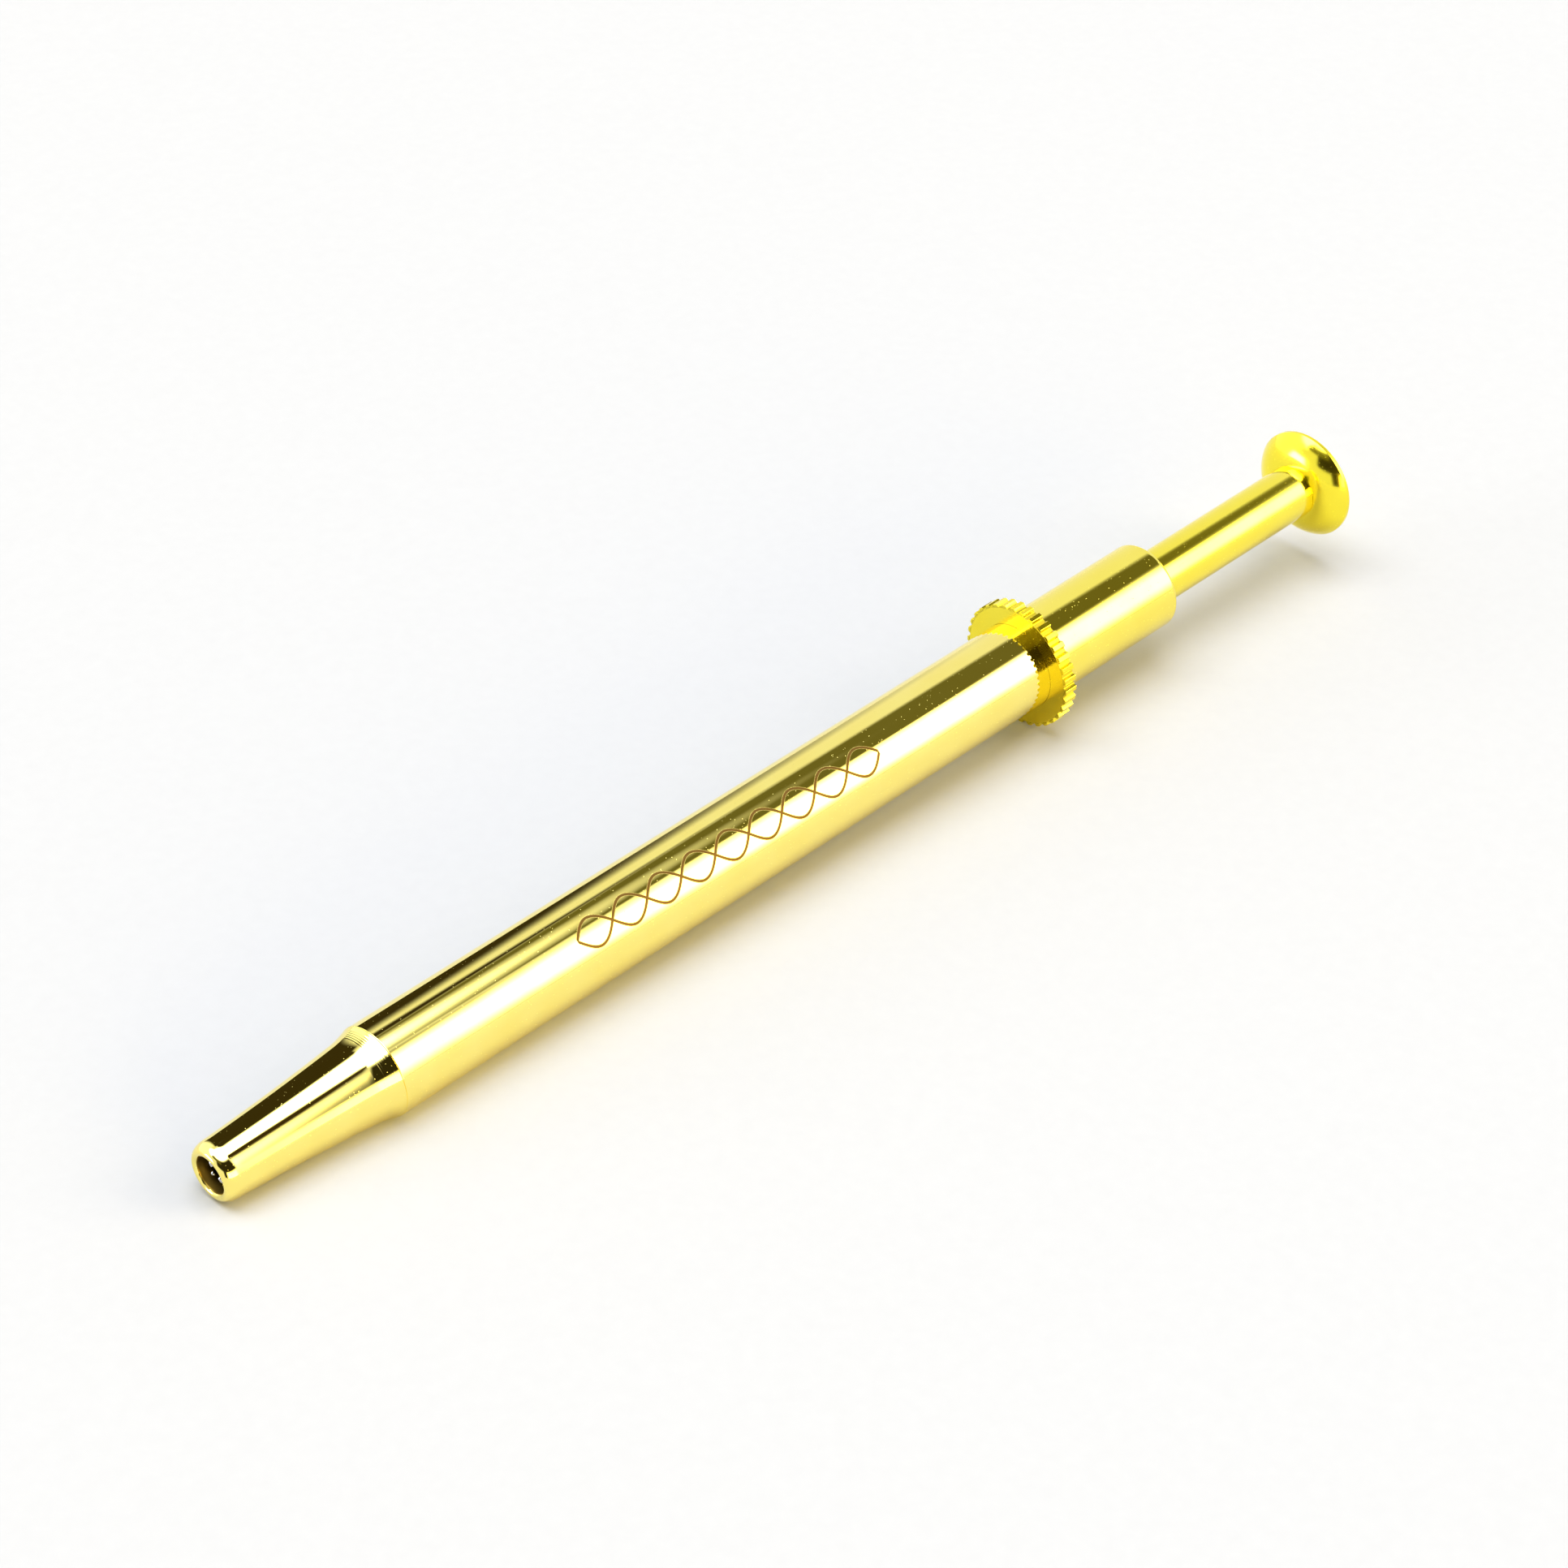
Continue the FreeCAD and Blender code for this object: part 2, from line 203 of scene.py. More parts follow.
def polished_surface_group():
    """What stays on metal after polishing: a faint waviness, fine lines one way, and dust specks.

    Grain stretches the lines: they run along the direction with the small number. Heights and
    waves are in mm.
    """
    tree, given, out = new_group(
        "polished_surface",
        {"Grain": (0.05, 6, 6), "Waves": 0.0003, "Lines": 0.0001, "Specks": 1.0, "Shine": 0.04},
        ["Height", "Roughness", "Blotches"],
    )
    place = node(tree, "ShaderNodeTexCoord").outputs["Object"]
    mm = node(tree, "ShaderNodeVectorMath", {0: place, 1: (1 / MM, 1 / MM, 1 / MM)}, operation="MULTIPLY")
    mm = mm.outputs[0]
    grain = node(
        tree, "ShaderNodeVectorMath", {0: mm, 1: given.outputs["Grain"]}, operation="MULTIPLY"
    ).outputs[0]
    waves = node(tree, "ShaderNodeTexNoise", {"Vector": mm, "Scale": 1.1, "Detail": 1.5})
    lines = node(
        tree,
        "ShaderNodeTexNoise",
        {"Vector": grain, "Scale": 2.5, "Detail": 5.0, "Roughness": 0.65},
    )
    blotches = node(tree, "ShaderNodeTexNoise", {"Vector": mm, "Scale": 0.35, "Detail": 3.0})
    cells = node(tree, "ShaderNodeTexVoronoi", {"Vector": mm, "Scale": 3.2})
    speck = node(
        tree,
        "ShaderNodeMapRange",
        {
            "Value": cells.outputs["Distance"],
            "From Min": 0.05,
            "From Max": 0.1,
            "To Min": 1.0,
            "To Max": 0.0,
        },
    ).outputs[0]
    speck = maths(tree, "MULTIPLY", speck, given.outputs["Specks"])
    wave_height = maths(tree, "MULTIPLY", waves.outputs[0], given.outputs["Waves"])
    line_height = maths(tree, "MULTIPLY", lines.outputs[0], given.outputs["Lines"])
    speck_height = maths(tree, "MULTIPLY", speck, SPECK_HEIGHT)
    height = maths(tree, "ADD", maths(tree, "ADD", wave_height, line_height), speck_height)
    streak = maths(tree, "SUBTRACT", lines.outputs[0], 0.45)
    streak = maths(tree, "MULTIPLY", streak, LINE_DULLNESS)
    rough = maths(tree, "ADD", given.outputs["Shine"], streak)
    rough = maths(tree, "ADD", rough, maths(tree, "MULTIPLY", speck, SPECK_DULLNESS))
    tree.links.new(height, out.inputs["Height"])
    tree.links.new(rough, out.inputs["Roughness"])
    tree.links.new(blotches.outputs[0], out.inputs["Blotches"])
    return tree


polished_surface = polished_surface_group()


def shader(name):
    """A new metal material. Returns it, its node tree and its Principled shader."""
    material = bpy.data.materials.new(name)
    material.use_nodes = True
    tree = material.node_tree
    principled = tree.nodes["Principled BSDF"]
    principled.inputs["Metallic"].default_value = 1.0
    return material, tree, principled


def blend_colour(tree, mask, low, high):
    """A colour that goes from low to high with mask."""
    mix = node(tree, "ShaderNodeMix", {0: mask, 6: low, 7: high}, data_type="RGBA")
    return mix.outputs[2]


def plate_nodes(tree, **values):
    """Places the polished surface group in a material, with this metal's own values."""
    plate = tree.nodes.new("ShaderNodeGroup")
    plate.node_tree = polished_surface
    for socket, value in values.items():
        plate.inputs[socket].default_value = value
    return plate


def apply_finish(tree, principled, colour, rough, height):
    """Joins a metal's finish to its shader. height, in mm, becomes a bump."""
    bump = node(tree, "ShaderNodeBump", {"Height": height, "Distance": MM})
    tree.links.new(colour, principled.inputs["Base Color"])
    tree.links.new(rough, principled.inputs["Roughness"])
    tree.links.new(bump.outputs[0], principled.inputs["Normal"])


def gold_plate(name, grain, blue, waves=0.0003, lines=0.00006, specks=1.0, shine=0.03, bore_r=0):
    """Lemon-gold plate on polished brass, slightly deeper in cloudy patches.

    blue is how much blue the plate reflects: less makes a deeper yellow. Nearer the tool's axis
    than bore_r, in mm, the metal is bored and unpolished: rougher, and darkened with painted shade.
    """
    material, tree, principled = shader(name)
    plate = plate_nodes(tree, Grain=grain, Waves=waves, Lines=lines, Specks=specks, Shine=shine)
    colour = blend_colour(
        tree, plate.outputs["Blotches"], (1.0, 0.87, blue, 1), (0.97, 0.8, blue * 0.7, 1)
    )
    rough = plate.outputs["Roughness"]
    if bore_r:
        # Painted shade: nearer the axis than bore_r the colour goes dark brown, and the metal is also
        # rougher.
        bore_shade_and_dull = maths(tree, "LESS_THAN", axis_distance(tree), bore_r)
        colour = blend_colour(tree, bore_shade_and_dull, colour, BORE_PAINTED_SHADE)
        rough = maths(tree, "ADD", rough, maths(tree, "MULTIPLY", bore_shade_and_dull, BORE_DULLNESS))
    apply_finish(tree, principled, colour, rough, plate.outputs["Height"])
    return material


def axis_distance(tree):
    """The distance from the tool's axis, in mm."""
    place = node(tree, "ShaderNodeTexCoord").outputs["Object"]
    flat = node(
        tree, "ShaderNodeVectorMath", {0: place, 1: (0, 1 / MM, 1 / MM)}, operation="MULTIPLY"
    )
    return node(
        tree, "ShaderNodeVectorMath", {0: flat.outputs[0]}, operation="LENGTH"
    ).outputs["Value"]


ALONG = (0.05, 6.0, 6.0)
AROUND = (7.0, 0.25, 0.25)

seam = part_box("barrel_tube")[0].x / MM
spigot_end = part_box("nose_cone")[1].x / MM


def flare_with_tool_marks():
    """The flare from the neck to the seam, with shallow V marks cut in its last millimetre."""
    curve = bow(NECK, (seam - TURNED_EDGE, BARREL_R), -FLARE_SAG)
    first = seam - TOOL_MARKS_TO_SEAM - TOOL_MARKS * TOOL_MARK_PITCH

    def radius(x):
        for (x0, r0), (x1, r1) in zip(curve, curve[1:]):
            if x <= x1:
                return r0 + (r1 - r0) * (x - x0) / (x1 - x0)
        return curve[-1][1]

    points = [point for point in curve if point[0] < first - TOOL_MARK_WIDTH]
    for n in range(TOOL_MARKS):
        middle = first + n * TOOL_MARK_PITCH
        for x, cut in (
            (middle - TOOL_MARK_WIDTH / 2, 0),
            (middle, TOOL_MARK_DEPTH),
            (middle + TOOL_MARK_WIDTH / 2, 0),
        ):
            points.append((x, radius(x) - cut))
    return points + [point for point in curve if point[0] > points[-1][0] + TOOL_MARK_WIDTH / 2]


def quarter(centre, radius, start, end, steps=10, length=None):
    """Points round a circle of an (x, r) outline, between two angles in degrees.

    length, when given, draws it out along x into an ellipse.
    """
    length = length or radius
    points = []
    for n in range(steps + 1):
        angle = math.radians(start + (end - start) * n / steps)
        points.append((centre[0] + length * math.cos(angle), centre[1] + radius * math.sin(angle)))
    return points


lip_crown = MOUTH_R + LIP_INNER
nose_outline = quarter((LIP_INNER, lip_crown), LIP_INNER, 270, 180)
nose_outline += quarter((LIP_LENGTH, lip_crown), LIP_OUTER, 180, 90, 14, LIP_LENGTH)[1:]
nose_outline += bow((LIP_LENGTH, LIP_R), NECK, -CONE_SAG)[1:-1]
nose_outline += flare_with_tool_marks()
nose_outline += [
    (seam, BARREL_R - TURNED_EDGE),
    (seam, SPIGOT_R),
    (spigot_end - TURNED_EDGE, SPIGOT_R),
    (spigot_end, SPIGOT_R - TURNED_EDGE),
    (spigot_end, MOUTH_R),
]
nose = turned("nose", nose_outline)
# The nose's bore is darkened with painted shade.
nose.data.materials.append(
    gold_plate("nose_gold", AROUND, 0.26, lines=0.00005, bore_r=MOUTH_R + 0.04)
)
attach(nose, "barrel")
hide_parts("nose_cone")


# ==== Barrel tube ==============================================================================
# A drawn brass tube, polished and gold plated, that the hand holds. Both ends are faced square,
# with their edges just broken. A plain braid is etched along it.

TUBE_BORE_R = 3.125
BRAID_START = 33.0
BRAID_CROSSINGS = 9
BRAID_TURN = 41.0
BRAID_WIDTH = 2.4
CROSSING = 3.5
ETCHED_LINE = 0.26
ETCHED_BROWN = (0.1, 0.055, 0.012, 1)
ETCHED_DULLNESS = 0.45
CUT_EDGE = 0.03

ring_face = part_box("finger_ring")[0].x / MM
tube_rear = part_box("barrel_tube")[1].x / MM
barrel_outline = eased(
    [(seam, TUBE_BORE_R), (seam, BARREL_R), (tube_rear, BARREL_R), (tube_rear, TUBE_BORE_R)],
    {1: TURNED_EDGE, 2: CUT_EDGE},
)
barrel = turned("barrel", barrel_outline)


def etched_gold():
    """The barrel's plate, with two thin dark lines etched through it, which cross like a braid."""
    material = gold_plate("barrel_gold", ALONG, 0.26)
    tree = material.node_tree
    principled = tree.nodes["Principled BSDF"]
    place = node(tree, "ShaderNodeTexCoord").outputs["Object"]
    x, y, z = node(tree, "ShaderNodeSeparateXYZ", {0: place}).outputs
    crossings = maths(tree, "DIVIDE", maths(tree, "SUBTRACT", x, BRAID_START * MM), CROSSING * MM)
    on_braid = maths(
        tree,
        "MULTIPLY",
        maths(tree, "GREATER_THAN", crossings, 0),
        maths(tree, "LESS_THAN", crossings, BRAID_CROSSINGS),
    )
    swing = maths(tree, "MULTIPLY", crossings, math.pi)
    half_width = maths(
        tree, "MULTIPLY", maths(tree, "ABSOLUTE", maths(tree, "SINE", swing)), BRAID_WIDTH / 2
    )
    turn = maths(tree, "ARCTAN2", maths(tree, "MULTIPLY", y, -1), z)
    across = maths(
        tree, "MULTIPLY", maths(tree, "SUBTRACT", turn, math.radians(BRAID_TURN)), BARREL_R
    )
    off_line = maths(
        tree, "ABSOLUTE", maths(tree, "SUBTRACT", maths(tree, "ABSOLUTE", across), half_width)
    )
    slope = maths(
        tree, "MULTIPLY", maths(tree, "COSINE", swing), math.pi * BRAID_WIDTH / 2 / CROSSING
    )
    slant = maths(tree, "SQRT", maths(tree, "ADD", maths(tree, "MULTIPLY", slope, slope), 1))
    line = node(
        tree,
        "ShaderNodeMapRange",
        {
            "Value": maths(tree, "DIVIDE", off_line, slant),
            "From Min": ETCHED_LINE * 0.35,
            "From Max": ETCHED_LINE * 0.6,
            "To Min": 1.0,
            "To Max": 0.0,
        },
    ).outputs[0]
    line = maths(tree, "MULTIPLY", line, on_braid)
    plain_colour = principled.inputs["Base Color"].links[0].from_socket
    plain_rough = principled.inputs["Roughness"].links[0].from_socket
    colour = blend_colour(tree, line, plain_colour, ETCHED_BROWN)
    tree.links.new(colour, principled.inputs["Base Color"])
    rough = maths(tree, "ADD", plain_rough, maths(tree, "MULTIPLY", line, ETCHED_DULLNESS))
    tree.links.new(rough, principled.inputs["Roughness"])
    return material


barrel.data.materials.append(etched_gold())
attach(barrel, "barrel")
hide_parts("barrel_tube")


# ==== Finger ring ==============================================================================
# A brass disc, parted off a knurled bar, bored, recessed for the tube and gold plated. The sleeve
# clamps it on the tube. Its teeth are straight, with flat crests and narrow roots.

RING_TIP_R = 5.45
RING_TOOTH_DEPTH = 0.28
RING_TEETH = 34
RING_LAND_SHARE = 0.38
RING_ROOT_SHARE = 0.3
RING_RECESS_R = 3.74
RING_RECESS_WALL = 0.004
RING_BURR = 0.018
RING_MARK_DEPTH = 0.0012
# The knurl's roots are darkened with painted shade, which fades out short of the crests; the roots are
# also rougher.
CREST_BAND = 0.06
ROOT_PAINTED_SHADE = (0.4, 0.33, 0.02, 1)
ROOT_SHADE_STRENGTH = 0.8
ROOT_DULLNESS = 0.26

ring_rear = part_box("finger_ring")[1].x / MM


def knurled_ring():
    """One flat sector of tooth, repeated round the axis, then given its thickness and recess."""
    pitch = math.tau / RING_TEETH
    land = pitch * RING_LAND_SHARE / 2
    root = pitch * (1 - RING_ROOT_SHARE) / 2
    root_r = RING_TIP_R - RING_TOOTH_DEPTH
    stations = [
        (-pitch / 2, root_r),
        (-root, root_r),
        (-land, RING_TIP_R),
        (0, RING_TIP_R),
        (land, RING_TIP_R),
        (root, root_r),
        (pitch / 2, root_r),
    ]
    mesh = bmesh.new()

    def at(angle, r):
        spot = (ring_face * MM, r * MM * math.cos(angle), r * MM * math.sin(angle))
        return mesh.verts.new(spot)

    steps = (TUBE_BORE_R, RING_RECESS_R - RING_RECESS_WALL, RING_RECESS_R)
    rows = [[at(angle, r) for r in (*steps, rim)] for angle, rim in stations]
    for here, there in zip(rows, rows[1:]):
        for inner in range(len(steps)):
            mesh.faces.new((here[inner], here[inner + 1], there[inner + 1], there[inner]))
    bmesh.ops.spin(
        mesh,
        geom=mesh.verts[:] + mesh.edges[:] + mesh.faces[:],
        cent=(0, 0, 0),
        axis=(1, 0, 0),
        dvec=(0, 0, 0),
        angle=math.tau,
        steps=RING_TEETH,
        use_duplicate=True,
    )
    bmesh.ops.remove_doubles(mesh, verts=mesh.verts, dist=MM / 1000)
    return mesh


ring_mesh = knurled_ring()
grown = bmesh.ops.extrude_face_region(ring_mesh, geom=ring_mesh.faces[:], use_keep_orig=True)
grown_verts = [item for item in grown["geom"] if isinstance(item, bmesh.types.BMVert)]
bmesh.ops.translate(ring_mesh, verts=grown_verts, vec=((ring_rear - ring_face) * MM, 0, 0))
recessed = [
    vert
    for vert in ring_mesh.verts
    if vert.co.x < (ring_face + 0.01) * MM
    and math.hypot(vert.co.y, vert.co.z) < (RING_RECESS_R - RING_RECESS_WALL / 2) * MM
]
bmesh.ops.translate(ring_mesh, verts=recessed, vec=((tube_rear - ring_face) * MM, 0, 0))
bmesh.ops.recalc_face_normals(ring_mesh, faces=ring_mesh.faces)


def on_rim(edge):
    """Is this edge on the knurl: its two toothed outlines and the corners of its teeth?"""
    return all(math.hypot(vert.co.y, vert.co.z) > (RING_TIP_R - 0.4) * MM for vert in edge.verts)


rim_edges = [
    edge
    for edge in ring_mesh.edges
    if on_rim(edge) and len(edge.link_faces) == 2 and edge.calc_face_angle() > math.radians(15)
]
bmesh.ops.bevel(
    ring_mesh,
    geom=rim_edges,
    offset=RING_BURR * MM,
    offset_type="OFFSET",
    segments=1,
    profile=0.5,
    affect="EDGES",
    material=-1,
    clamp_overlap=True,
)
ring = finished("knurled_ring", ring_mesh, sharp=12)


def ring_gold():
    """The plate on the ring: turning marks and a grain on its faces, and painted shade darkening the
    knurl's roots, which are also rougher.
    """
    material, tree, principled = shader("ring_gold")
    plate = plate_nodes(
        tree, Grain=(1.2, 1.2, 1.2), Waves=0.0018, Lines=0.008, Specks=1.0, Shine=0.11
    )
    radius = axis_distance(tree)
    marks = node(
        tree,
        "ShaderNodeTexNoise",
        {"W": radius, "Scale": 9.0, "Detail": 4.0},
        noise_dimensions="1D",
    )
    turning = maths(tree, "MULTIPLY", marks.outputs[0], RING_MARK_DEPTH)
    height = maths(tree, "ADD", plate.outputs["Height"], turning)
    # Painted shade: strongest at the knurl's roots, fading out towards the crests.
    root = node(
        tree,
        "ShaderNodeMapRange",
        {
            "Value": radius,
            "From Min": RING_TIP_R - RING_TOOTH_DEPTH,
            "From Max": RING_TIP_R - CREST_BAND,
            "To Min": 1.0,
            "To Max": 0.0,
        },
    ).outputs[0]
    knurl = maths(tree, "GREATER_THAN", radius, RING_TIP_R - RING_TOOTH_DEPTH - 0.015)
    root = maths(tree, "MULTIPLY", root, knurl)
    colour = blend_colour(
        tree, plate.outputs["Blotches"], (1.0, 0.84, 0.055, 1), (0.97, 0.77, 0.03, 1)
    )
    colour = blend_colour(tree, maths(tree, "MULTIPLY", root, ROOT_SHADE_STRENGTH), colour, ROOT_PAINTED_SHADE)
    dulled = maths(tree, "MULTIPLY", root, ROOT_DULLNESS)
    rough = maths(tree, "ADD", plate.outputs["Roughness"], dulled)
    apply_finish(tree, principled, colour, rough, height)
    return material


ring.data.materials.append(ring_gold())
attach(ring, "barrel")
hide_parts("finger_ring")


# ==== Rear sleeve ==============================================================================
# A turned brass sleeve, gold plated. Its spigot goes through the ring into the tube, and its bore
# guides the plunger. The end that shows is rounded over.

SLEEVE_END_ROUND = 0.35
SLEEVE_BORE_R = 2.35

sleeve_front, sleeve_rear = (corner.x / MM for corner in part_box("rear_sleeve"))
sleeve_outline = eased(
    [
        (sleeve_front, SLEEVE_BORE_R),
        (sleeve_front, SPIGOT_R),
        (ring_rear, SPIGOT_R),
        (ring_rear, BARREL_R),
        (sleeve_rear, BARREL_R),
        (sleeve_rear, SLEEVE_BORE_R),
    ],
    {1: TURNED_EDGE, 3: TURNED_EDGE, 4: SLEEVE_END_ROUND, 5: 0.05},
    steps=10,
)
sleeve = turned("sleeve", sleeve_outline)
sleeve.data.materials.append(gold_plate("sleeve_gold", ALONG, 0.16, specks=1.6))
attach(sleeve, "barrel")
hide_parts("rear_sleeve")


# ==== Plunger tube =============================================================================
# A thin drawn tube, polished and gold plated, that slides in the sleeve. Sliding has left fine
# lines along it.

PLUNGER_R = 2.3
PLUNGER_BORE_R = 1.7

plunger_front, plunger_rear = (corner.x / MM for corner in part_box("plunger_tube"))
plunger_outline = eased(
    [
        (plunger_front, PLUNGER_BORE_R),
        (plunger_front, PLUNGER_R),
        (plunger_rear, PLUNGER_R),
        (plunger_rear, PLUNGER_BORE_R),
    ],
    {1: TURNED_EDGE, 2: CUT_EDGE},
)
plunger = turned("plunger", plunger_outline, facets=192)
plunger.data.materials.append(
    gold_plate("plunger_gold", ALONG, 0.1, waves=0.0006, lines=0.0003, shine=0.09)
)
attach(plunger, "plunger")
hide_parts("plunger_tube")


# ==== Thumb button =============================================================================
# A turned brass button, gold plated: a bowl on a spigot, pressed into the plunger. Its top is
# dished for the thumb, inside a thin plain rim.

BUTTON_R = 4.725
BUTTON_RIM = 0.35
BUTTON_DISH = 1.1
BUTTON_SPIGOT_R = 1.685
BUTTON_BULGE = 0.34
RIM_ROUND = 0.1
DISH_EDGE_ROUND = 0.05
FACE_GAP = 0.02

button_front, rim_rear = (corner.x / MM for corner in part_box("thumb_button"))
button_foot = plunger_rear + FACE_GAP
rim_low = (rim_rear - BUTTON_RIM, BUTTON_R)
dish_edge = (rim_rear, BUTTON_R - BUTTON_RIM)
button_outline = [
    (button_front, 0),
    (button_front, BUTTON_SPIGOT_R),
    (button_foot, BUTTON_SPIGOT_R),
]
button_outline += bow((button_foot, PLUNGER_R), rim_low, BUTTON_BULGE)
button_outline += quarter(
    (rim_rear - RIM_ROUND, BUTTON_R - RIM_ROUND), RIM_ROUND, 90, 0, steps=6
)
button_outline += quarter(
    (rim_rear - DISH_EDGE_ROUND, dish_edge[1] + DISH_EDGE_ROUND), DISH_EDGE_ROUND, 0, -90, steps=3
)[:2]
dish = bow((dish_edge[0], -dish_edge[1]), dish_edge, BUTTON_DISH, steps=48)
button_outline += [point for point in reversed(dish) if point[1] > 0.001]
button_outline += [(rim_rear - BUTTON_DISH, 0)]
button = turned("button", button_outline)
button.data.materials.append(gold_plate("button_gold", AROUND, 0.06, waves=0.0005, shine=0.13))
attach(button, "plunger")
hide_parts("thumb_button")


# ==== Stop plug ================================================================================
# A turned brass plug, pressed in the plunger's front end. Its flange stops against the sleeve's
# spigot and slides in the tube, and the rod is soldered in its bore.

PLUG_FLANGE_R = 3.075
PLUG_R = 1.685
ROD_R = 0.8
ROD_SEAT_R = 0.815

plug_front, plug_rear = (corner.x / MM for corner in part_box("stop_plug"))
flange_rear = plunger_front - FACE_GAP
plug_outline = eased(
    [
        (plug_front, ROD_SEAT_R),
        (plug_front, PLUG_FLANGE_R),
        (flange_rear, PLUG_FLANGE_R),
        (flange_rear, PLUG_R),
        (plug_rear, PLUG_R),
        (plug_rear, ROD_SEAT_R),
    ],
    {1: TURNED_EDGE, 2: CUT_EDGE, 4: CUT_EDGE},
    steps=3,
)


def turned_metal(name, light_tone, dark_tone, pitch, depth, shine):
    """Bare metal off the lathe: fine ridges round the axis, and a tone that changes a little in patches.
    """
    material, tree, principled = shader(name)
    plate = plate_nodes(tree, Grain=AROUND, Waves=0.0005, Lines=0.001, Specks=0.5, Shine=shine)
    place = node(tree, "ShaderNodeTexCoord").outputs["Object"]
    along = node(tree, "ShaderNodeSeparateXYZ", {0: place}).outputs["X"]
    cycle = maths(tree, "MULTIPLY", along, math.tau / (pitch * MM))
    ridge = maths(tree, "MULTIPLY", maths(tree, "SINE", cycle), depth)
    height = maths(tree, "ADD", plate.outputs["Height"], ridge)
    colour = blend_colour(tree, plate.outputs["Blotches"], light_tone, dark_tone)
    apply_finish(tree, principled, colour, plate.outputs["Roughness"], height)
    return material


turned_brass = turned_metal(
    "turned_brass", (0.84, 0.66, 0.3, 1), (0.68, 0.48, 0.17, 1), pitch=0.12, depth=0.0015, shine=0.2
)
plug = turned("plug", plug_outline, facets=128)
plug.data.materials.append(turned_brass)
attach(plug, "plunger")
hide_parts("stop_plug")


# ==== Push rod =================================================================================
# A ground steel rod, from the plug to the ferrule that holds the claws. Both ends are broken by
# a small chamfer.

rod_front, rod_rear = (corner.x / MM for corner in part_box("push_rod"))
rod = turned(
    "rod",
    [
        (rod_front, 0),
        (rod_front, ROD_R - TURNED_EDGE),
        (rod_front + TURNED_EDGE, ROD_R),
        (rod_rear - TURNED_EDGE, ROD_R),
        (rod_rear, ROD_R - TURNED_EDGE),
        (rod_rear, 0),
    ],
    facets=64,
)
rod.data.materials.append(
    turned_metal(
        "ground_steel", (0.62, 0.63, 0.64, 1), (0.47, 0.48, 0.5, 1), pitch=0.05, depth=0.0002, shine=0.16
    )
)
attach(rod, "plunger")
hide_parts("push_rod")


# ==== Spring collar and washer =================================================================
# Two turned brass rings. The collar is fixed on the rod, where the spring pushes it back, and the
# washer lies loose between the spring and the nose's spigot.

COLLAR_R = 2.625
WASHER_R = 2.925
WASHER_BORE_R = 1.0

for name, cad_name, body, bore_r, outer_r in (
    ("collar", "spring_collar", "plunger", ROD_SEAT_R, COLLAR_R),
    ("washer", "spring_washer", "barrel", WASHER_BORE_R, WASHER_R),
):
    front, rear = (corner.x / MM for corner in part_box(cad_name))
    band = turned(
        name,
        eased(
            [(front, bore_r), (front, outer_r), (rear, outer_r), (rear, bore_r)],
            {0: 0.04, 1: TURNED_EDGE, 2: TURNED_EDGE, 3: 0.04},
            steps=3,
        ),
        facets=128,
    )
    band.data.materials.append(turned_brass)
    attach(band, body)
    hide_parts(cad_name)


# ==== Return spring ============================================================================
# A compression spring of bright drawn steel wire, coiled round the rod with its two end turns
# closed. In the tool it shortens as the plunger goes in, until its turns touch; here it keeps
# one length.

SPRING_R = 2.375
SPRING_WIRE = 0.5
SPRING_TURNS = 30
CLOSED_TURNS = 1.25
STEPS_PER_TURN = 36
TURN_GAP = 0.01

spring_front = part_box("spring_washer")[1].x + FACE_GAP * MM
spring_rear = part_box("spring_collar")[0].x - FACE_GAP * MM


def wire_steel(name, light_tone, dark_tone, shine):
    """Drawn steel wire: fine lines, and a tone that changes a little along it."""
    material, tree, principled = shader(name)
    plate = plate_nodes(tree, Grain=(0.6, 8, 8), Waves=0.0004, Lines=0.0008, Specks=0.6, Shine=shine)
    colour = blend_colour(tree, plate.outputs["Blotches"], light_tone, dark_tone)
    apply_finish(tree, principled, colour, plate.outputs["Roughness"], plate.outputs["Height"])
    return material


def coiled_spring():
    """One section of wire, wound on through the closed turns, the open ones and the closed ones."""
    wire_r = SPRING_WIRE / 2 * MM
    open_turns = SPRING_TURNS - 2 * CLOSED_TURNS
    closed_pitch = (SPRING_WIRE + TURN_GAP) * MM
    climb = spring_rear - spring_front - SPRING_WIRE * MM - 2 * CLOSED_TURNS * closed_pitch
    mesh = bmesh.new()
    bmesh.ops.create_circle(mesh, cap_ends=True, radius=wire_r, segments=14)
    bmesh.ops.rotate(mesh, verts=mesh.verts, matrix=Matrix.Rotation(math.pi / 2, 3, "X"))
    bmesh.ops.translate(mesh, verts=mesh.verts, vec=(spring_front + wire_r, 0, SPRING_R * MM))
    end = mesh.faces[:] + mesh.edges[:] + mesh.verts[:]
    for turns, pitch in (
        (CLOSED_TURNS, closed_pitch),
        (open_turns, climb / open_turns),
        (CLOSED_TURNS, closed_pitch),
    ):
        steps = round(turns * STEPS_PER_TURN)
        wound = bmesh.ops.spin(
            mesh,
            geom=end,
            cent=(0, 0, 0),
            axis=(1, 0, 0),
            dvec=(pitch * turns / steps, 0, 0),
            angle=math.tau * turns,
            steps=steps,
        )
        end = wound["geom_last"]
    bmesh.ops.recalc_face_normals(mesh, faces=mesh.faces)
    return finished("spring", mesh, sharp=50)


spring = coiled_spring()
spring.data.materials.append(
    wire_steel("spring_steel", (0.62, 0.64, 0.67, 1), (0.42, 0.43, 0.45, 1), shine=0.2)
)
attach(spring, "barrel")
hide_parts("return_spring")
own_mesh(spring)


# ==== Claw ferrule =============================================================================
# A short brass sleeve, crimped on the four wires in front and on the rod behind.

FERRULE_R = 1.3
FERRULE_SEAT_R = 0.562

